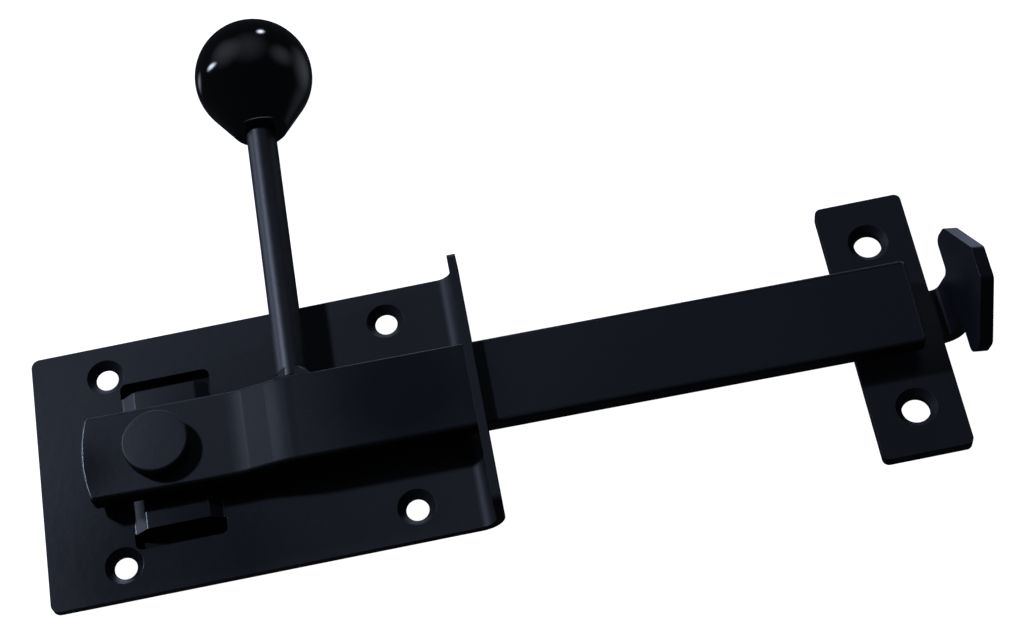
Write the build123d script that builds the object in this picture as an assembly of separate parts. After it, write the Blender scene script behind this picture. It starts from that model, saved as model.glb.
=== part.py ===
"""Gate lock: a pivoting latch bar with a ball lever on a flanged base plate, and its keeper plate.

Sizes are in millimetres. The origin is the centre of the base plate's screw pattern, on the
plate's back face. +X runs along the plate towards the keeper, +Y up towards the ball knob,
and +Z out of the plate, away from the gate.
"""
from build123d import *
import math
import os

# base plate
plate_length = 128.3          # left edge to the flange's outer face
plate_height = 80.0
plate_sheet = 2.5
plate_corner_radius = 2.5
flange_height = 17.5          # above the plate's back face
flange_bend_radius = 4.5      # inside the bend
screw_spacing_x = 83.0
screw_spacing_y = 60.0
screw_inset = 21.5            # left edge to the first column of holes
screw_hole_radius = 3.25
screw_countersink_radius = 5.5
window_half_height = 20.5     # half of the flange window, along Y
window_clearance = 0.7        # between the latch bar's faces and the window
window_corner_radius = 2.0

# pivot, on a bridge that is pressed up out of the plate between two punched slots
pivot_inset = 36.0            # left edge to the pivot axis
bridge_rise = 2.7
bridge_top_width = 17.8       # along X, the flat part that carries the bar
bridge_ramp = 3.6             # along X, each sloped side
bridge_length = 43.2          # along Y, between the slots
bridge_shift = 2.4            # the bridge's centre, to the right of the pivot
bridge_bend_radius = 1.2      # inside each bend
slot_width = 4.7              # along Y
slot_land = 0.6               # the slots' ends past the foot of each ramp
slot_corner_radius = 2.0
pin_radius = 5.0              # the rivet's shoulder, which the bar turns on
pin_shank_radius = 3.5        # in the bridge
pin_head_radius = 9.5
pin_head_height = 4.2
pin_head_round = 0.7
pin_tail_radius = 6.0
pin_tail_height = 2.0
pin_tail_round = 0.9
pivot_clearance = 0.08        # radial, between the pin and the bar
axial_play = 0.1              # on each face of the bar, under the head and over the bridge

# latch bar
bar_width = 26.5
bar_thickness = 6.0
bar_edge_radius = 1.2
bar_left_reach = 22.0         # pivot axis to the crown of the bar's left end
bar_left_crown = 1.9          # the crown stands this far past the end's corners
bar_right_reach = 216.5       # pivot axis to the bar's right end
bar_end_corner = 1.5
joggle_start = 23.1           # pivot axis to the first bend
joggle_run = 12.6             # length of the sloped part along the bar
joggle_rise = 2.6
joggle_bend_radius = 20.0     # at the middle of the bar's thickness
rest_turn = -0.75             # degrees: the bar hangs a little low at its free end

# lever rod and ball knob
rod_radius = 4.5
rod_from_pivot = 40.0         # pivot axis to the rod's axis, along the bar
rod_end_chamfer = 0.8
rod_weld_size = 2.2
ball_radius = 18.0
ball_from_bar = 106.6         # the bar's upper edge to the ball's centre
neck_drop = 20.5              # the ball's centre to the neck's end face
neck_end_radius = 7.8
neck_round = 1.5
mouth_clearance = 0.1         # radial, between the rod and the knob's mouth
insert_radius = 6.0
insert_recess = 3.0           # the neck's end face to the insert
insert_depth = 11.0           # length of the threaded insert inside the knob
rod_in_knob = 15.0            # the rod's end, past the neck's end face

# keeper
keeper_width = 25.5
keeper_height = 82.0
keeper_sheet = 4.0
keeper_corner_radius = 2.0
keeper_lap = 6.4              # the bar's right end past the keeper's centre line
keeper_drop = 3.7             # the keeper's centre lies this far below the pivot
keeper_screw_spacing = 54.0
keeper_hole_radius = 4.0
keeper_countersink_radius = 5.8
tongue_width = 15.4
tongue_flat = 0.2             # keeper's right edge to the start of the bend
tongue_slope = 75.0           # degrees that the catch stands up from the keeper
tongue_bend_radius = 2.5
catch_neck = 9.0              # virtual corner of the bend to the wings' inner edge
catch_width = 38.0
catch_height = 27.0           # virtual corner of the bend to the catch's tip
catch_tip_width = 10.0
catch_shoulder = 15.0         # virtual corner of the bend to the start of the ramps
catch_corner_radius = 2.5
catch_root_radius = 2.0

# places that follow from the sizes above
plate_left = -screw_inset - screw_spacing_x / 2
plate_right = plate_left + plate_length
pivot_x = plate_left + pivot_inset
cutter_length = 2 * plate_height
bridge_top = plate_sheet + bridge_rise
bar_back = bridge_top + axial_play
bar_front = bar_back + bar_thickness
bar_middle = (bar_back + bar_front) / 2
window_low = bar_back + joggle_rise - window_clearance
window_high = bar_front + joggle_rise + window_clearance
rod_axis_z = bar_front + joggle_rise - rod_radius
ball_y = bar_width / 2 + ball_from_bar
neck_y = ball_y - neck_drop
keeper_x = pivot_x + bar_right_reach - keeper_lap
keeper_y = -keeper_drop
bridge_reach = bridge_top_width / 2 + bridge_ramp + slot_land
bend_setback = tongue_bend_radius * math.tan(math.radians(tongue_slope) / 2)
catch_corner_x = keeper_width / 2 + tongue_flat + bend_setback


def countersunk_hole(x, y, radius, sink_radius, sheet):
    """Cutter for a right-angle countersunk hole that opens at the sheet's front face."""
    through = Pos(x, y, 0) * Cylinder(radius, cutter_length)
    sink_depth = sink_radius - radius
    cone = Pos(x, y, sheet - sink_depth / 2) * Cone(radius, sink_radius, sink_depth)
    return through + cone


def folded_piece(points, rounds, width):
    """Sheet piece with its outline in XZ, centred on Y; rounds gives each bend's corner and radius."""
    face = make_face(Polyline(*points, close=True))
    for corner, radius in rounds:
        vertex = face.vertices().sort_by_distance(corner)[0]
        face = fillet(vertex, radius)
    return Pos(0, width / 2, 0) * extrude(Plane.XZ * face, width)


def at_pivot(shape):
    """Puts a piece of the lever, made about the pivot axis, in its rest place."""
    return Pos(pivot_x, 0, 0) * Rot(0, 0, rest_turn) * shape


def make_base_plate():
    """Plate with its right edge folded up into a flange with a window for the bar."""
    inner_x = plate_right - plate_sheet
    outline = [
        (plate_left, 0),
        (plate_right, 0),
        (plate_right, flange_height),
        (inner_x, flange_height),
        (inner_x, plate_sheet),
        (plate_left, plate_sheet),
    ]
    rounds = [
        ((plate_right, 0), flange_bend_radius + plate_sheet),
        ((inner_x, plate_sheet), flange_bend_radius),
    ]
    plate = folded_piece(outline, rounds, plate_height)
    left_corners = plate.edges().filter_by(Axis.Z).group_by(Axis.X)[0]
    plate = fillet(left_corners, plate_corner_radius)
    flange_corners = plate.edges().filter_by(Axis.X).group_by(Axis.Z)[-1]
    plate = fillet(flange_corners, plate_corner_radius)
    for side_x in (-1, 1):
        for side_y in (-1, 1):
            hole_x = side_x * screw_spacing_x / 2
            hole_y = side_y * screw_spacing_y / 2
            plate -= countersunk_hole(hole_x, hole_y, screw_hole_radius, screw_countersink_radius, plate_sheet)
    window = Box(2 * flange_bend_radius, 2 * window_half_height, window_high - window_low)
    window = fillet(window.edges().filter_by(Axis.X), window_corner_radius)
    plate -= Pos(plate_right, 0, (window_low + window_high) / 2) * window
    bridge_x = pivot_x + bridge_shift
    slots = Box(2 * bridge_reach, bridge_length + 2 * slot_width, cutter_length)
    slots = fillet(slots.edges().filter_by(Axis.Z), slot_corner_radius)
    plate -= Pos(bridge_x, 0, 0) * slots
    plate += Pos(bridge_x, 0, 0) * make_bridge()
    plate -= Pos(pivot_x, 0, 0) * Cylinder(pin_shank_radius, cutter_length)
    return plate


def make_bridge():
    """Raised strip across the slotted opening, which carries the bar at its pivot."""
    half_top = bridge_top_width / 2
    half_foot = half_top + bridge_ramp
    back = [
        (-bridge_reach, 0),
        (-half_foot, 0),
        (-half_top, bridge_rise),
        (half_top, bridge_rise),
        (half_foot, 0),
        (bridge_reach, 0),
    ]
    front = [(x, z + plate_sheet) for x, z in reversed(back)]
    rounds = [((side * half_foot, plate_sheet), bridge_bend_radius) for side in (-1, 1)]
    rounds += [((side * half_top, bridge_rise), bridge_bend_radius) for side in (-1, 1)]
    rounds += [((side * half_top, bridge_top), bridge_bend_radius) for side in (-1, 1)]
    return folded_piece(back + front, rounds, bridge_length)


def make_pivot_pin():
    """Shouldered rivet: the bar turns on the shoulder, and the tail is formed under the bridge."""
    head_low = bar_front + axial_play
    shoulder = Pos(0, 0, (bridge_top + head_low) / 2) * Cylinder(pin_radius, head_low - bridge_top)
    head = Pos(0, 0, head_low + pin_head_height / 2) * Cylinder(pin_head_radius, pin_head_height)
    head = fillet(head.edges().group_by(Axis.Z)[-1], pin_head_round)
    shank = Pos(0, 0, (bridge_rise + bridge_top) / 2) * Cylinder(pin_shank_radius, plate_sheet)
    tail = Pos(0, 0, bridge_rise - pin_tail_height / 2) * Cylinder(pin_tail_radius, pin_tail_height)
    tail = fillet(tail.edges().group_by(Axis.Z)[0], pin_tail_round)
    return Pos(pivot_x, 0, 0) * (shoulder + head + shank + tail)


def make_latch_bar():
    """Flat bar with one joggle, its long edges rounded as the mill leaves them."""
    left = -bar_left_reach - bar_end_corner
    path = FilletPolyline(
        (left, 0, bar_middle),
        (joggle_start, 0, bar_middle),
        (joggle_start + joggle_run, 0, bar_middle + joggle_rise),
        (bar_right_reach + bar_end_corner, 0, bar_middle + joggle_rise),
        radius=joggle_bend_radius,
    )
    start = Plane(origin=(left, 0, bar_middle), x_dir=(0, 1, 0), z_dir=(1, 0, 0))
    profile = start * RectangleRounded(bar_width, bar_thickness, bar_edge_radius)
    bar = sweep(profile, path=path)
    bar &= bar_outline()
    bar -= Cylinder(pin_radius + pivot_clearance, cutter_length)
    return at_pivot(bar)


def bar_outline():
    """Upright prism of the bar's outline: a crowned left end and a square right end."""
    half = bar_width / 2
    left_corner = bar_left_crown - bar_left_reach
    outline = make_face([
        Line((bar_right_reach, half), (left_corner, half)),
        ThreePointArc((left_corner, half), (-bar_left_reach, 0), (left_corner, -half)),
        Line((left_corner, -half), (bar_right_reach, -half)),
        Line((bar_right_reach, -half), (bar_right_reach, half)),
    ])
    prism = extrude(outline, cutter_length / 2, both=True)
    return fillet(prism.edges().filter_by(Axis.Z), bar_end_corner)


def make_lever_rod():
    """Round rod butt-welded to the bar's upper edge, its front level with the bar's front."""
    rod_low = bar_width / 2
    rod_high = neck_y + rod_in_knob
    rod = Cylinder(rod_radius, rod_high - rod_low)
    rod = chamfer(rod.edges().group_by(Axis.Z)[-1], rod_end_chamfer)
    rod = Pos(rod_from_pivot, (rod_low + rod_high) / 2, rod_axis_z) * Rot(-90, 0, 0) * rod
    return at_pivot(rod)


def make_rod_weld():
    """Fillet welds at the two sides of the rod's foot, on the bar's upper edge."""
    bead = Cone(rod_radius + rod_weld_size, rod_radius, rod_weld_size)
    bead -= Cylinder(rod_radius, cutter_length)
    bead = Rot(-90, 0, 0) * Pos(0, 0, rod_weld_size / 2) * bead
    bead = Pos(rod_from_pivot, bar_width / 2, rod_axis_z) * bead
    edge_flat = Box(cutter_length, cutter_length, bar_thickness - 2 * bar_edge_radius)
    bead &= Pos(rod_from_pivot, bar_width / 2, bar_middle + joggle_rise) * edge_flat
    return at_pivot(bead)


def make_ball_knob():
    """Ball with a conical neck tangent to it, turned about its own axis."""
    neck_end = (neck_end_radius, -neck_drop)
    neck_angle = math.atan2(-neck_drop, neck_end_radius) + math.acos(ball_radius / math.hypot(*neck_end))
    neck_root = (ball_radius * math.cos(neck_angle), ball_radius * math.sin(neck_angle))
    side = (ball_radius, 0)
    top = (0, ball_radius)
    mouth_radius = rod_radius + mouth_clearance
    insert_low = -neck_drop + insert_recess
    insert_high = insert_low + insert_depth
    bore_end = -neck_drop + rod_in_knob
    outline = [
        Line((mouth_radius, -neck_drop), neck_end),
        Line(neck_end, neck_root),
        ThreePointArc(neck_root, side, top),
        Line(top, (0, bore_end)),
        Line((0, bore_end), (rod_radius, bore_end)),
        Line((rod_radius, bore_end), (rod_radius, insert_high)),
        Line((rod_radius, insert_high), (insert_radius, insert_high)),
        Line((insert_radius, insert_high), (insert_radius, insert_low)),
        Line((insert_radius, insert_low), (mouth_radius, insert_low)),
        Line((mouth_radius, insert_low), (mouth_radius, -neck_drop)),
    ]
    knob = revolve(make_face(outline), Axis.Y)
    rim = knob.edges().filter_by(GeomType.CIRCLE).group_by(Axis.Y)[0].sort_by(SortBy.RADIUS)[-1]
    knob = fillet(rim, neck_round)
    knob = Pos(rod_from_pivot, ball_y, rod_axis_z) * knob
    return at_pivot(knob)


def make_knob_insert():
    """Threaded bush moulded into the knob, which holds the rod's end."""
    low = neck_y + insert_recess
    bush = Cylinder(insert_radius, insert_depth) - Cylinder(rod_radius, cutter_length)
    bush = Pos(rod_from_pivot, low + insert_depth / 2, rod_axis_z) * Rot(-90, 0, 0) * bush
    return at_pivot(bush)


def make_keeper_plate():
    """Keeper plate with a tongue at its right edge, bent up into an arrow-shaped catch."""
    plate = Box(keeper_width, keeper_height, keeper_sheet)
    plate = fillet(plate.edges().filter_by(Axis.Z), keeper_corner_radius)
    plate = Pos(0, 0, keeper_sheet / 2) * plate
    for side_y in (-1, 1):
        hole_y = side_y * keeper_screw_spacing / 2
        plate -= countersunk_hole(0, hole_y, keeper_hole_radius, keeper_countersink_radius, keeper_sheet)

    slope = math.radians(tongue_slope)
    up = Vector(math.cos(slope), math.sin(slope))
    out = Vector(math.sin(slope), -math.cos(slope))
    inner_corner = Vector(catch_corner_x, keeper_sheet)
    outer_corner = Vector(catch_corner_x + keeper_sheet * math.tan(slope / 2), 0)
    neck_middle = (bend_setback + catch_neck) / 2
    inner_end = inner_corner + up * neck_middle
    outer_end = inner_end + out * keeper_sheet
    inside = keeper_width / 2 - keeper_corner_radius
    outline = [
        (inside, 0),
        (outer_corner.X, outer_corner.Y),
        (outer_end.X, outer_end.Y),
        (inner_end.X, inner_end.Y),
        (inner_corner.X, inner_corner.Y),
        (inside, keeper_sheet),
    ]
    rounds = [
        (outer_corner, tongue_bend_radius + keeper_sheet),
        (inner_corner, tongue_bend_radius),
    ]
    tongue = folded_piece(outline, rounds, tongue_width)

    half_neck = tongue_width / 2
    half = catch_width / 2
    half_tip = catch_tip_width / 2
    side = [(neck_middle, half_neck), (catch_neck, half_neck), (catch_neck, half)]
    side += [(catch_shoulder, half), (catch_height, half_tip)]
    points = side + [(along, -across) for along, across in reversed(side)]
    face = make_face(Polyline(*points, close=True))
    for along, across in side[1:]:
        radius = catch_root_radius if across == half_neck else catch_corner_radius
        for sign in (-1, 1):
            vertex = face.vertices().sort_by_distance((along, sign * across))[0]
            face = fillet(vertex, radius)
    catch_plane = Plane(
        origin=(inner_corner.X, 0, inner_corner.Y),
        x_dir=(up.X, 0, up.Y),
        z_dir=(out.X, 0, out.Y),
    )
    catch = extrude(catch_plane * face, keeper_sheet)
    return plate + tongue + catch


def main():
    pieces = {
        "base_plate": make_base_plate(),
        "pivot_pin": make_pivot_pin(),
        "latch_bar": make_latch_bar(),
        "lever_rod": make_lever_rod(),
        "rod_weld": make_rod_weld(),
        "ball_knob": make_ball_knob(),
        "knob_insert": make_knob_insert(),
        "keeper_plate": Pos(keeper_x, keeper_y, 0) * make_keeper_plate(),
    }
    os.makedirs("parts", exist_ok=True)
    for name, shape in pieces.items():
        export_step(shape, f"parts/{name}.step")
        box = shape.bounding_box()
        print(name, f"{shape.volume:.0f} mm3", box.min, box.max)


main()
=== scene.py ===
"""Dresses the gate lock on its CAD frame and lays out its studio.

The plates, the rivet, the latch bar and its lever rod are copies of their CAD meshes with
rounded edges. The ball knob and the weld beads are modelled here, and the brass bush is the
CAD node itself. Plain lengths are in millimetres, but for the lights' and the camera's, which
are in metres.
"""
import math

import bpy
from mathutils import Matrix, Vector


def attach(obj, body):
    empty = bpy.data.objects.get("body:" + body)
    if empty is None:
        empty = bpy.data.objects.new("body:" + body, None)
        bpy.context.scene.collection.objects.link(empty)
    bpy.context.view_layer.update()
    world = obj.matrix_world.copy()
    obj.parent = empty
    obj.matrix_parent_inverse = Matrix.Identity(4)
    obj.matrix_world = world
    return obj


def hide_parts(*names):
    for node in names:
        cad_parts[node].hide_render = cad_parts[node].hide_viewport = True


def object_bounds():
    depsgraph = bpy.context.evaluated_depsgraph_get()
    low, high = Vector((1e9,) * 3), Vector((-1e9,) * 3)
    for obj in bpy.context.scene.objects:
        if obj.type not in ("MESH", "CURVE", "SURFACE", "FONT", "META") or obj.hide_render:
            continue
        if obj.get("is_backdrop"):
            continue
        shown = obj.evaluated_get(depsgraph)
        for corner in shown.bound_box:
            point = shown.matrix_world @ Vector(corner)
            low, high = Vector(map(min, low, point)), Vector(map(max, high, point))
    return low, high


bl_info = {
    "name": "Gate Lock",
    "version": (1, 0, 0),
    "blender": (4, 5, 0),
    "location": "View3D > Sidebar > Gate Lock",
    "description": "Builds the visible pieces, finishes and studio of a gate lock on its CAD frame",
    "category": "Object",
}

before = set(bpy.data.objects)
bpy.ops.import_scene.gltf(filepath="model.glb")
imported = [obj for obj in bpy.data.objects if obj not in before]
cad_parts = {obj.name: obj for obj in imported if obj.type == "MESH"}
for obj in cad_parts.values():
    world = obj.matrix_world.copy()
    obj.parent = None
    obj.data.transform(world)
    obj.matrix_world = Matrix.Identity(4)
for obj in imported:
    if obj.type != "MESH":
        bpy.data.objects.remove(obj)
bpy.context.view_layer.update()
MM = 0.001

# The lever's own places, measured from the rivet with the bar level, and the bar's rest angle.
PIVOT = Vector((-27.0, 0.0, 0.0)) * MM
REST_TURN = math.radians(-0.75)
BALL_CENTRE = Vector((40.0, 119.85, 9.4)) * MM
ROD_FOOT = Vector((40.0, 13.25, 9.4)) * MM

# Screw holes: the middle of each plate's pattern, and half its spacings.
BASE_HALF_SPACING = (41.5, 30.0)
KEEPER_MIDDLE = (183.1, -3.7)
KEEPER_HALF_SPACING = 27.0
HOLE_REACH = 4.6 * MM
HOLES = [Vector((across * BASE_HALF_SPACING[0], up * BASE_HALF_SPACING[1])) * MM
         for across in (-1, 1) for up in (-1, 1)]
HOLES += [Vector((KEEPER_MIDDLE[0], KEEPER_MIDDLE[1] + up * KEEPER_HALF_SPACING)) * MM
          for up in (-1, 1)]

# Places where the coating is rubbed smoother: middle and reach.
PLATE_RUB = ((-26.0, -38.0, 2.5), 84.0)
CATCH_RUB = ((204.0, -4.0, 15.0), 26.0)
BAR_RUBS = (((44.0, 0.0, 11.0), 40.0), ((-49.0, -3.0, 8.0), 20.0))

# Outline of the weld bead as (radius, height), and how far it reaches on its two flat sides.
BEAD_OUTLINE = ((0.0, -1.3), (6.6, -1.3), (6.7, -0.2), (6.4, 0.4), (5.8, 0.9), (5.3, 1.5),
                (4.95, 2.1), (4.6, 2.6), (0.0, 2.6))
BEAD_CUTS = ((1.0, 1.0), (-1.0, 4.35))

# The dark card under the slots, painted shade that stands in for the plate's shadow seen through
# them: size, shift towards the flange, and depth under the plate.
SLOT_SHADE_SIZE = (26.9 * MM, 53.2 * MM)
SLOT_SHADE_SHIFT = 2.4 * MM
SLOT_SHADE_DEPTH = 0.12 * MM

# Lights on everything but the ball: name, way from the lock, distance, size, power.
LAMP_AIM = Vector((0.06, 0.0, 0.0))
LAMP_COLOUR = (0.87, 1.0, 1.36)
LAMPS = (
    ("key_upper_left", (-0.594, 0.439, 0.675), 1.5, (0.12, 0.12), 5.4),
    ("fill_upper_right", (0.35, 0.45, 0.82), 1.5, (0.5, 0.5), 0.3),
    ("bounce_behind", (0.12, 0.98, -0.12), 1.2, (1.6, 0.8), 4.0),
    ("bounce_left", (-0.83, 0.50, 0.08), 1.2, (0.5, 0.5), 1.3),
)

# Soft cards that light only the ball: name, way from the ball, size, power.
CARD_DISTANCE = 0.8
CARD_COLOUR = (0.86, 0.95, 1.14)
CARDS = (
    ("card_back", (0.317, 0.887, 0.336), (0.17, 0.25), 1.8),
    ("card_left", (-0.895, 0.346, 0.281), (0.15, 0.42), 2.6),
    ("card_over", (0.04, 0.44, 0.78), (1.35, 1.35), 1.15),
    ("card_over_left", (-0.58, 0.50, 0.66), (1.00, 1.10), 1.25),
    ("card_over_right", (0.85, 0.25, 0.42), (0.70, 0.90), 0.60),
    ("card_low_right", (0.90, 0.25, -0.40), (0.95, 1.10), 1.00),
    ("card_low_left", (-0.78, 0.42, -0.44), (0.25, 0.35), 0.22),
    ("card_near", (0.02, -1.0, 0.04), (1.50, 0.40), 3.2),
)

# The photograph's camera: lens in mm, place in metres, turn in degrees.
CAMERA_LENS = 78.09
CAMERA_PLACE = (0.07636, -0.28493, 0.56752)
CAMERA_TURN = (28.105, 5.281, -10.048)


class GateLockSizes(bpy.types.PropertyGroup):
    """Sizes that shape the pieces."""
    sheet_edge: bpy.props.FloatProperty(
        name="Sheet edge round", description="Rounding that the coating gives a cut sheet edge",
        default=0.45 * MM, min=0.05 * MM, max=1.0 * MM, subtype="DISTANCE", unit="LENGTH")
    bar_edge: bpy.props.FloatProperty(
        name="Bar edge round", description="Rounding of the latch bar's cut ends and bore",
        default=1.8 * MM, min=0.05 * MM, max=2.5 * MM, subtype="DISTANCE", unit="LENGTH")
    rivet_edge: bpy.props.FloatProperty(
        name="Rivet edge round", description="Rounding of the rivet head's rim",
        default=0.3 * MM, min=0.05 * MM, max=1.0 * MM, subtype="DISTANCE", unit="LENGTH")
    rod_edge: bpy.props.FloatProperty(
        name="Rod edge round", description="Rounding of the lever rod's cut ends",
        default=0.3 * MM, min=0.05 * MM, max=1.0 * MM, subtype="DISTANCE", unit="LENGTH")
    bead_lump: bpy.props.FloatProperty(
        name="Weld lumps", description="How far a weld bead's surface heaves",
        default=0.5 * MM, min=0.0, max=1.0 * MM, subtype="DISTANCE", unit="LENGTH")
    knob_segments: bpy.props.IntProperty(
        name="Knob segments", description="Faces round the ball knob",
        default=144, min=32, max=256)


class GateLockColours(bpy.types.PropertyGroup):
    """Colours and sheen of the finishes."""
    coat: bpy.props.FloatVectorProperty(
        name="Coating", description="Colour of the powder coating",
        default=(0.0085, 0.0100, 0.0140), min=0.0, max=1.0, subtype="COLOR")
    # Lighter colour on the bar's rounded edges: a painted highlight.
    painted_edge_highlight: bpy.props.FloatVectorProperty(
        name="Painted edge highlight", description="Colour of the coating on the bar's rubbed edges",
        default=(0.022, 0.024, 0.029), min=0.0, max=1.0, subtype="COLOR")
    coat_roughness: bpy.props.FloatProperty(
        name="Coating roughness", description="Roughness of the powder coating",
        default=0.54, min=0.0, max=1.0, subtype="FACTOR")
    knob: bpy.props.FloatVectorProperty(
        name="Knob", description="Colour of the ball knob",
        default=(0.0042, 0.0042, 0.0048), min=0.0, max=1.0, subtype="COLOR")
    brass: bpy.props.FloatVectorProperty(
        name="Brass", description="Colour of the threaded bush",
        default=(0.55, 0.40, 0.17), min=0.0, max=1.0, subtype="COLOR")
    floor: bpy.props.FloatVectorProperty(
        name="Floor", description="Colour of the studio floor",
        default=(0.93, 0.93, 0.94), min=0.0, max=1.0, subtype="COLOR")


def sizes():
    return bpy.context.scene.gate_lock_sizes


def colours():
    return bpy.context.scene.gate_lock_colours


class Wire:
    """A shader socket that can be used in sums, differences, products and quotients."""

    def __init__(self, nodes, socket):
        self.nodes = nodes
        self.socket = socket

    def maths(self, operation, *values):
        return self.nodes.node("ShaderNodeMath", {"operation": operation}, dict(enumerate(values)))

    def __add__(self, other):
        return self.maths("ADD", self, other)

    __radd__ = __add__

    def __sub__(self, other):
        return self.maths("SUBTRACT", self, other)

    def __rsub__(self, other):
        return self.maths("SUBTRACT", other, self)

    def __mul__(self, other):
        return self.maths("MULTIPLY", self, other)

    __rmul__ = __mul__

    def __truediv__(self, other):
        return self.maths("DIVIDE", self, other)

    def __rtruediv__(self, other):
        return self.maths("DIVIDE", other, self)


class Nodes:
    """A node tree, to which one method adds every node."""

    def __init__(self, tree):
        self.tree = tree

    def node(self, kind, settings=None, inputs=None, output=0):
        """Adds a node: settings first, then its sockets' values or links. Returns one output."""
        node = self.tree.nodes.new(kind)
        for key, value in (settings or {}).items():
            if key == "stops":
                self.set_stops(node.color_ramp, value)
            else:
                setattr(node, key, value)
        for key, value in (inputs or {}).items():
            self.feed(node.inputs[key], value)
        return Wire(self, node.outputs[output])

    def set_stops(self, ramp, stops):
        """Gives a colour ramp its grey levels, each at its position."""
        while len(ramp.elements) < len(stops):
            ramp.elements.new(0.5)
        for element, (position, level) in zip(ramp.elements, stops):
            element.position = position
            element.color = (level, level, level, 1.0)

    def feed(self, socket, value):
        """Links a socket to a wire, or sets its own value."""
        if isinstance(value, Wire):
            self.tree.links.new(value.socket, socket)
        elif isinstance(value, tuple) and len(value) == 3 and len(socket.default_value) == 4:
            socket.default_value = (*value, 1.0)
        else:
            socket.default_value = value


class Finish(Nodes):
    """One material and the nodes that make it."""

    def __init__(self, name):
        self.material = bpy.data.materials.new(name)
        self.material.use_nodes = True
        super().__init__(self.material.node_tree)
        self.surface = self.tree.nodes["Principled BSDF"]
        self.place = self.node("ShaderNodeTexCoord", output="Object")

    def noise(self, scale, detail=2.0, roughness=0.5, place=None):
        """Soft noise with the given number of waves to the metre."""
        inputs = {"Vector": place or self.place, "Scale": scale, "Detail": detail,
                  "Roughness": roughness}
        return self.node("ShaderNodeTexNoise", {}, inputs)

    def stretched(self, scale, turn):
        """Object coordinates, scaled and turned, for marks that run one way."""
        inputs = {"Vector": self.place, "Scale": scale, "Rotation": turn}
        return self.node("ShaderNodeMapping", {}, inputs)

    def along(self, axis):
        """One object coordinate, in metres."""
        return self.node("ShaderNodeSeparateXYZ", {}, {"Vector": self.place}, axis)

    def ramp(self, value, *stops):
        """Grey levels along a value, each stop a position and its level."""
        return self.node("ShaderNodeValToRGB", {"stops": stops}, {"Fac": value})

    def mix(self, factor, a, b):
        """Mixes two colours. The node's sockets go by number, as each data type has its own."""
        return self.node("ShaderNodeMix", {"data_type": "RGBA"}, {0: factor, 6: a, 7: b}, 2)

    def bump(self, height, distance, normal=None):
        """Bends the normal by a height from 0 to 1 that stands for a distance."""
        inputs = {"Height": height, "Distance": distance}
        if normal is not None:
            inputs["Normal"] = normal
        return self.node("ShaderNodeBump", {}, inputs)

    def set(self, **values):
        """Sets or links the surface shader's sockets, named with _ for a space."""
        for key, value in values.items():
            self.feed(self.surface.inputs[key.replace("_", " ")], value)
        return self.material


def pressed_bends(finish):
    """Height of the press tool's marks along the bar: a crease at each end of the joggle."""
    start, span = -10.0 * MM, 30.0 * MM
    return finish.ramp((finish.along(0) - start) / span, (0.0, 0.40), (0.117, 0.40),
                       (0.250, 0.72), (0.275, 0.90), (0.50, 0.24), (0.70, 0.52), (0.77, 0.40))


def handled_patch(finish, middle, reach):
    """A place where the coating is smoother: 1 near its middle, fading to 0 at its reach."""
    points = {0: finish.place, 1: tuple(value * MM for value in middle)}
    away = finish.node("ShaderNodeVectorMath", {"operation": "DISTANCE"}, points, "Value")
    return finish.ramp(away / (reach * MM), (0.25, 1.0), (1.0, 0.0))


def powder_coat(name, rougher=0.0, gloss=0.5, rubs=(), relief=None, tint="coat"):
    """Black satin powder coating: orange peel, faint clouds, dust specks and scuffs.

    rougher is added to the coating's roughness, and gloss is its specular level. rubs are
    its smoother places, relief gives the height of what is pressed into the steel under
    it, and tint names one of the colours.
    """
    colour = tuple(getattr(colours(), tint))
    pale = tuple(min(1.0, c * 1.6 + 0.003) for c in colour)
    steel = (0.075, 0.078, 0.085)
    cloud_sheen, rub_sheen = 0.05, 0.25
    peel_height, relief_height = 0.03 * MM, 0.42 * MM

    finish = Finish(name)
    cloud = finish.noise(22.0, 3.0)
    peel = finish.noise(700.0)
    waves = finish.noise(260.0, 1.0, 0.4)
    grain = finish.noise(2400.0, 1.0)
    scuffs = finish.noise(150.0, 5.0, 0.62, finish.stretched((1.0, 9.0, 4.0), (0.0, 0.0, 0.22)))
    scuff = finish.ramp(scuffs, (0.64, 0.0), (0.80, 1.0))
    speck = finish.ramp(finish.noise(1300.0, 1.0), (0.73, 0.0), (0.80, 1.0))

    base = finish.mix(finish.ramp(cloud, (0.35, 0.0), (0.75, 0.5)), colour, pale)
    base = finish.mix(scuff * 0.12 + speck * 0.06, base, steel)
    roughness = colours().coat_roughness + rougher
    sheen = cloud * cloud_sheen + (roughness - cloud_sheen / 2) + speck * 0.05 + scuff * 0.05
    for middle, reach in rubs:
        sheen = sheen - handled_patch(finish, middle, reach) * rub_sheen
    normal = finish.bump(peel * 0.5 + waves + grain * 0.10, peel_height)
    if relief:
        normal = finish.bump(relief(finish), relief_height, normal)
    return finish.set(
        Base_Color=base,
        Roughness=sheen,
        Normal=normal,
        Specular_IOR_Level=gloss,
        IOR=1.5,
    )


def moulded_gloss(name, colour):
    """Polished black thermoset: deep gloss with a faint haze, hairlines and flow marks."""
    finish = Finish(name)
    haze = finish.noise(60.0, 4.0, 0.6)
    hairs = finish.noise(260.0, 6.0, 0.6, finish.stretched((1.0, 14.0, 1.0), (0.3, 0.5, 0.8)))
    hair = finish.ramp(hairs, (0.66, 0.0), (0.74, 1.0))
    return finish.set(
        Base_Color=finish.mix(haze, colour, tuple(c * 1.7 for c in colour)),
        Roughness=haze * 0.05 + 0.05 + hair * 0.10,
        Normal=finish.bump(finish.noise(45.0, 1.0, 0.4), 0.05 * MM),
        IOR=1.55,
    )


def turned_brass(name, colour):
    """Machined brass with fine tool marks and a dull film."""
    finish = Finish(name)
    film = finish.noise(300.0, 3.0)
    return finish.set(
        Base_Color=finish.mix(film, colour, tuple(c * 0.55 for c in colour)),
        Metallic=1.0,
        Roughness=film * 0.2 + 0.25,
        Normal=finish.bump(finish.noise(1500.0), 0.01 * MM),
    )


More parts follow.
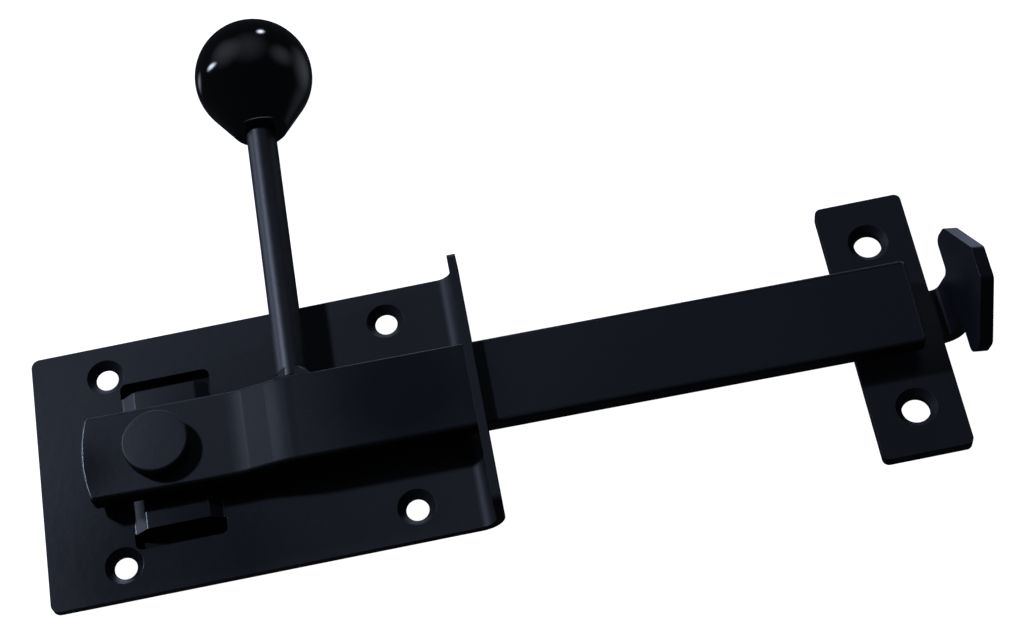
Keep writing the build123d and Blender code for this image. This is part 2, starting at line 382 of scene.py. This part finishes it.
def floor_paper(name, colour):
    """Pale matt paper, faintly mottled, that glows so that the floor stays white."""
    finish = Finish(name)
    return finish.set(
        Base_Color=finish.mix(finish.noise(3.0), colour, tuple(c * 0.97 for c in colour)),
        Roughness=0.9,
        Emission_Color=colour,
        Emission_Strength=1.12,
    )


def backing_paper(name):
    """Matt black paper, painted shade for the shadow under the plate's slots."""
    return Finish(name).set(Base_Color=(0.004, 0.004, 0.005), Roughness=0.9)


def coated(piece, *materials):
    """Gives a piece its materials: the first for its faces, the last for its rounded edges."""
    piece.data.materials.clear()
    for material in materials:
        piece.data.materials.append(material)


def dress(piece, node, body):
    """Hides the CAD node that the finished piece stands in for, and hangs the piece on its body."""
    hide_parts(node)
    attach(piece, body)


def only(piece):
    """Deselects everything else and makes the piece active."""
    bpy.ops.object.select_all(action="DESELECT")
    piece.select_set(True)
    bpy.context.view_layer.objects.active = piece


def node_copy(node, name):
    """A new object with a clean copy of a CAD node's mesh: joined up, flat faces in one."""
    piece = bpy.data.objects.new(name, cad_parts[node].data.copy())
    bpy.context.scene.collection.objects.link(piece)
    only(piece)
    bpy.ops.object.mode_set(mode="EDIT")
    bpy.ops.mesh.select_all(action="SELECT")
    bpy.ops.mesh.remove_doubles(threshold=0.002 * MM)
    bpy.ops.mesh.dissolve_limited(angle_limit=math.radians(0.4), delimit=set())
    bpy.ops.mesh.customdata_custom_splitnormals_clear()
    bpy.ops.object.mode_set(mode="OBJECT")
    return piece


def near_hole(point):
    """Tells whether a point lies on the bore of a screw hole, whose two rings stay crisp."""
    return any((point.to_2d() - hole).length < HOLE_REACH for hole in HOLES)


def soften(piece, width, segments, angle, crisp=None):
    """Rounds the piece's sharp edges, but for those that crisp picks, and shades it smooth."""
    only(piece)
    bpy.ops.object.shade_smooth_by_angle(angle=math.radians(angle))
    bpy.ops.object.mode_set(mode="EDIT")
    bpy.ops.mesh.select_mode(type="EDGE")
    bpy.ops.mesh.select_all(action="DESELECT")
    bpy.ops.mesh.edges_select_sharp(sharpness=math.radians(angle))
    bpy.ops.object.mode_set(mode="OBJECT")
    mesh = piece.data
    weights = mesh.attributes.new("bevel_weight_edge", "FLOAT", "EDGE")
    for edge in mesh.edges:
        middle = (mesh.vertices[edge.vertices[0]].co + mesh.vertices[edge.vertices[1]].co) / 2
        kept = crisp is not None and crisp(middle)
        weights.data[edge.index].value = 1.0 if edge.select and not kept else 0.0
    bevel = piece.modifiers.new("edge", "BEVEL")
    bevel.limit_method = "WEIGHT"
    bevel.width = width
    bevel.segments = segments
    bevel.harden_normals = True
    bevel.material = len(mesh.materials) - 1
    bpy.ops.object.modifier_apply(modifier=bevel.name)


def steel_piece(node, name, body, materials, width, segments=3, angle=40.0, crisp=None):
    """Makes a coated steel piece from its CAD node, with its edges rounded to the width."""
    piece = node_copy(node, name)
    coated(piece, *materials)
    soften(piece, width, segments, angle, crisp)
    dress(piece, node, body)


def lever_place(point):
    """Matrix that puts a piece made about +Z at a point of the lever, its +Z along the rod."""
    turn = Matrix.Translation(PIVOT) @ Matrix.Rotation(REST_TURN, 4, "Z")
    return turn @ Matrix.Translation(point) @ Matrix.Rotation(math.radians(-90.0), 4, "X")


def apply_place(piece, place):
    """Moves the piece's own mesh to its place; the object itself stays at the origin."""
    only(piece)
    piece.matrix_world = place
    bpy.ops.object.transform_apply(location=True, rotation=True, scale=True)


def turned_piece(name, profile, steps):
    """Turns a chain of (radius, height) points about Z and joins it up into one solid skin."""
    bpy.ops.object.select_all(action="DESELECT")
    bpy.ops.mesh.primitive_plane_add(size=MM)
    piece = bpy.context.object
    piece.name = name
    bpy.ops.object.mode_set(mode="EDIT")
    bpy.ops.mesh.select_mode(type="VERT")
    bpy.ops.mesh.select_all(action="SELECT")
    bpy.ops.mesh.merge(type="CENTER")
    bpy.ops.transform.translate(value=(profile[0][0], 0.0, profile[0][1]))
    for (radius_a, height_a), (radius_b, height_b) in zip(profile, profile[1:]):
        step = (radius_b - radius_a, 0.0, height_b - height_a)
        bpy.ops.mesh.extrude_region_move(TRANSFORM_OT_translate={"value": step})
    bpy.ops.mesh.select_all(action="SELECT")
    bpy.ops.mesh.spin(steps=steps, angle=math.tau, center=(0.0, 0.0, 0.0), axis=(0.0, 0.0, 1.0))
    bpy.ops.mesh.select_all(action="SELECT")
    bpy.ops.mesh.remove_doubles(threshold=0.004 * MM)
    bpy.ops.mesh.normals_make_consistent(inside=False)
    bpy.ops.object.mode_set(mode="OBJECT")
    return piece


def arc(middle, radius, first, last, steps):
    """Points on an arc about its middle, from the first angle to the last."""
    angles = [first + (last - first) * i / steps for i in range(steps + 1)]
    return [(middle[0] + radius * math.cos(angle), middle[1] + radius * math.sin(angle))
            for angle in angles]


def knob_profile():
    """Half outline of the knob: ball, tangent cone, rounded rim, mouth, bush pocket and bore."""
    ball, rim, rim_round = 18.0, 7.8, 1.5
    mouth, pocket, bore = 4.6, 6.0, 4.5
    rim_height, mouth_height, pocket_height, bore_height = -20.5, -17.5, -6.5, -5.5
    top, bottom = math.pi / 2, -math.pi / 2
    foot = math.acos(ball / math.hypot(rim, rim_height)) + math.atan2(rim_height, rim)
    points = arc((0.0, 0.0), ball, top, foot, 56)
    slope = Vector((rim - points[-1][0], rim_height - points[-1][1])).normalized()
    turn = math.acos(-slope.x)
    cut = rim_round * math.tan(turn / 2)
    start = Vector((rim, rim_height)) - slope * cut
    centre = start + Vector((slope.y, -slope.x)) * rim_round
    first = math.atan2(start.y - centre.y, start.x - centre.x)
    points += arc(centre, rim_round, first, bottom, 8)
    points += [(mouth, rim_height), (mouth, mouth_height), (pocket, mouth_height),
               (pocket, pocket_height), (bore, pocket_height), (bore, bore_height),
               (0.0, bore_height)]
    return [(radius * MM, height * MM) for radius, height in points]


def studio_sheet(name, place, size, material):
    """Lays a flat sheet that isn't part of the lock."""
    bpy.ops.object.select_all(action="DESELECT")
    bpy.ops.mesh.primitive_plane_add(size=1.0, location=place)
    sheet = bpy.context.object
    sheet.name = name
    bpy.ops.transform.resize(value=(*size, 1.0))
    bpy.ops.object.transform_apply(location=False, rotation=False, scale=True)
    coated(sheet, material)
    sheet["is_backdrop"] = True
    return sheet


def studio_air(scene):
    """Gives the scene dim, sky-blue air."""
    scene.world = bpy.data.worlds.new("studio_air")
    scene.world.use_nodes = True
    sky = scene.world.node_tree.nodes["Background"]
    sky.inputs["Color"].default_value = (0.72, 0.84, 1.0, 1.0)
    sky.inputs["Strength"].default_value = 0.024


def area_light(name, place, aim, size, power, colour, shape="RECTANGLE"):
    """Soft light at a place, turned to its aim."""
    lamp = bpy.data.lights.new(name, "AREA")
    lamp.shape = shape
    lamp.size, lamp.size_y = size
    lamp.energy = power
    lamp.color = colour
    holder = bpy.data.objects.new(name, lamp)
    bpy.context.scene.collection.objects.link(holder)
    holder.location = place
    holder.rotation_euler = (aim - place).to_track_quat("-Z", "Y").to_euler()
    return holder


def fade_light(lamp):
    """Fades a light smoothly from its middle to its edge, so its reflection has no outline."""
    lamp.use_nodes = True
    nodes = Nodes(lamp.node_tree)
    spot = nodes.node("ShaderNodeNewGeometry", output="Parametric")
    away = nodes.node("ShaderNodeVectorMath", {"operation": "DISTANCE"},
                      {0: spot, 1: (0.5, 0.5, 0.0)}, "Value")
    fade = nodes.node("ShaderNodeMapRange", {"interpolation_type": "SMOOTHSTEP"},
                      {"Value": away, "From Max": 0.5, "To Min": 1.0, "To Max": 0.0}, "Result")
    nodes.feed(nodes.tree.nodes["Emission"].inputs["Strength"], fade)


def link_light(holder, piece, state):
    """Keeps a light for one piece (INCLUDE) or off one piece (EXCLUDE)."""
    group = bpy.data.collections.new(holder.name + "_receivers")
    group.objects.link(piece)
    group.collection_objects[0].light_linking.link_state = state
    holder.light_linking.receiver_collection = group


def studio_lights(ball):
    """Hangs the lamps that light the steel and the cards that light the ball."""
    for name, way, distance, size, power in LAMPS:
        place = LAMP_AIM + distance * Vector(way)
        lamp = area_light(name, place, LAMP_AIM, size, power, LAMP_COLOUR)
        link_light(lamp, ball, "EXCLUDE")
    middle = lever_place(BALL_CENTRE).translation
    for name, way, size, power in CARDS:
        place = middle + CARD_DISTANCE * Vector(way).normalized()
        card = area_light(name, place, middle, size, power, CARD_COLOUR, "ELLIPSE")
        fade_light(card.data)
        link_light(card, ball, "INCLUDE")


def photo_camera(scene):
    """Sets up the camera at the photograph's angle."""
    lens = bpy.data.cameras.new("photo_camera")
    lens.sensor_width = 36.0
    lens.lens = CAMERA_LENS
    lens.clip_start = 0.01
    lens.clip_end = 50.0
    camera = bpy.data.objects.new("photo_camera", lens)
    scene.collection.objects.link(camera)
    camera.location = CAMERA_PLACE
    camera.rotation_euler = tuple(math.radians(angle) for angle in CAMERA_TURN)
    scene.camera = camera


class GATELOCK_OT_plates(bpy.types.Operator):
    """Base plate with its flange and bridge, and the keeper plate, both of coated sheet steel"""
    bl_idname = "gate_lock.plates"
    bl_label = "Plates"

    def execute(self, context):
        plates = (("base_plate", "flanged_plate", PLATE_RUB),
                  ("keeper_plate", "catch_plate", CATCH_RUB))
        for node, name, rub in plates:
            coat = powder_coat(name + "_coating", rubs=(rub,))
            steel_piece(node, name, "mounting", (coat,), sizes().sheet_edge,
                        angle=32.0, crisp=near_hole)
        return {"FINISHED"}


class GATELOCK_OT_rivet(bpy.types.Operator):
    """Headed rivet on which the bar turns"""
    bl_idname = "gate_lock.rivet"
    bl_label = "Rivet"

    def execute(self, context):
        coat = powder_coat("rivet_coating", -0.02, 0.62)
        steel_piece("pivot_pin", "pivot_rivet", "mounting", (coat,), sizes().rivet_edge)
        return {"FINISHED"}


class GATELOCK_OT_bar(bpy.types.Operator):
    """Joggled latch bar and the lever rod that is welded to its upper edge"""
    bl_idname = "gate_lock.bar"
    bl_label = "Bar and lever"

    def execute(self, context):
        coat = powder_coat("bar_coating", 0.0, 0.44, BAR_RUBS, pressed_bends)
        # The bar's rounded edges get a lighter colour, a painted highlight, and a smoother coating.
        painted_edge_highlight = powder_coat("bar_edge_coating", -0.22, 0.7, tint="painted_edge_highlight")
        steel_piece("latch_bar", "joggled_bar", "lever", (coat, painted_edge_highlight), sizes().bar_edge, 5)
        stem = powder_coat("stem_coating", -0.09, 0.72)
        steel_piece("lever_rod", "lever_stem", "lever", (stem,), sizes().rod_edge, 2)
        return {"FINISHED"}


class GATELOCK_OT_knob(bpy.types.Operator):
    """Ball knob with its conical neck, and the brass bush inside it"""
    bl_idname = "gate_lock.knob"
    bl_label = "Ball knob"

    def execute(self, context):
        piece = turned_piece("ball", knob_profile(), sizes().knob_segments)
        apply_place(piece, lever_place(BALL_CENTRE))
        bpy.ops.object.shade_smooth_by_angle(angle=math.radians(35.0))
        coated(piece, moulded_gloss("knob_gloss", tuple(colours().knob)))
        dress(piece, "ball_knob", "lever")
        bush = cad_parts["knob_insert"]
        coated(bush, turned_brass("bush_brass", tuple(colours().brass)))
        return {"FINISHED"}


class GATELOCK_OT_welds(bpy.types.Operator):
    """Lumpy weld beads at the two sides of the lever rod's foot"""
    bl_idname = "gate_lock.welds"
    bl_label = "Weld beads"

    def execute(self, context):
        outline = [(radius * MM, height * MM) for radius, height in BEAD_OUTLINE]
        piece = turned_piece("rod_beads", outline, 72)
        bpy.ops.object.mode_set(mode="EDIT")
        for side, reach in BEAD_CUTS:
            bpy.ops.mesh.select_all(action="SELECT")
            bpy.ops.mesh.bisect(plane_co=(0.0, side * reach * MM, 0.0),
                                plane_no=(0.0, side, 0.0), use_fill=True, clear_outer=True)
        bpy.ops.mesh.select_all(action="SELECT")
        bpy.ops.mesh.normals_make_consistent(inside=False)
        bpy.ops.object.mode_set(mode="OBJECT")
        apply_place(piece, lever_place(ROD_FOOT))
        lumps = bpy.data.textures.new("bead_lumps", "CLOUDS")
        lumps.noise_scale = 1.6 * MM
        heave = piece.modifiers.new("heave", "DISPLACE")
        heave.texture = lumps
        heave.strength = sizes().bead_lump
        heave.mid_level = 0.6
        bpy.ops.object.modifier_apply(modifier=heave.name)
        bpy.ops.object.shade_smooth_by_angle(angle=math.radians(40.0))
        coated(piece, powder_coat("weld_coating", -0.04))
        dress(piece, "rod_weld", "lever")
        return {"FINISHED"}


class GATELOCK_OT_studio(bpy.types.Operator):
    """Pale floor, soft lights and the camera at the photograph's angle"""
    bl_idname = "gate_lock.studio"
    bl_label = "Studio"

    def execute(self, context):
        floor_place = (0.0, 0.0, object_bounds()[0].z - 0.05 * MM)
        paper = floor_paper("floor_paper", tuple(colours().floor))
        floor = studio_sheet("studio_floor", floor_place, (8.0, 8.0), paper)
        floor.visible_glossy = False
        floor.visible_diffuse = False
        floor.visible_shadow = False
        # A dark sheet under the slots: painted shade that darkens what is seen through them.
        slot_shade_place = (PIVOT.x + SLOT_SHADE_SHIFT, PIVOT.y, -SLOT_SHADE_DEPTH)
        studio_sheet("slot_backing", slot_shade_place, SLOT_SHADE_SIZE, backing_paper("backing_paper"))
        studio_air(context.scene)
        studio_lights(bpy.data.objects["ball"])
        photo_camera(context.scene)
        context.scene.view_settings.view_transform = "Standard"
        return {"FINISHED"}


class GATELOCK_PT_sidebar(bpy.types.Panel):
    """Lists the lock's builders"""
    bl_idname = "GATELOCK_PT_sidebar"
    bl_label = "Gate Lock"
    bl_space_type = "VIEW_3D"
    bl_region_type = "UI"
    bl_category = "Gate Lock"

    def draw(self, context):
        for operator in BUILDERS:
            self.layout.operator(operator.bl_idname)
        for group in (sizes(), colours()):
            for key in group.__annotations__:
                self.layout.prop(group, key)


BUILDERS = (
    GATELOCK_OT_plates,
    GATELOCK_OT_rivet,
    GATELOCK_OT_bar,
    GATELOCK_OT_knob,
    GATELOCK_OT_welds,
    GATELOCK_OT_studio,
)
CLASSES = (GateLockSizes, GateLockColours, *BUILDERS, GATELOCK_PT_sidebar)


def register():
    for item in CLASSES:
        bpy.utils.register_class(item)
    bpy.types.Scene.gate_lock_sizes = bpy.props.PointerProperty(type=GateLockSizes)
    bpy.types.Scene.gate_lock_colours = bpy.props.PointerProperty(type=GateLockColours)


def unregister():
    del bpy.types.Scene.gate_lock_colours
    del bpy.types.Scene.gate_lock_sizes
    for item in reversed(CLASSES):
        bpy.utils.unregister_class(item)


def main():
    register()
    bpy.ops.gate_lock.plates()
    bpy.ops.gate_lock.rivet()
    bpy.ops.gate_lock.bar()
    bpy.ops.gate_lock.knob()
    bpy.ops.gate_lock.welds()
    bpy.ops.gate_lock.studio()


if __name__ == "__main__":
    main()
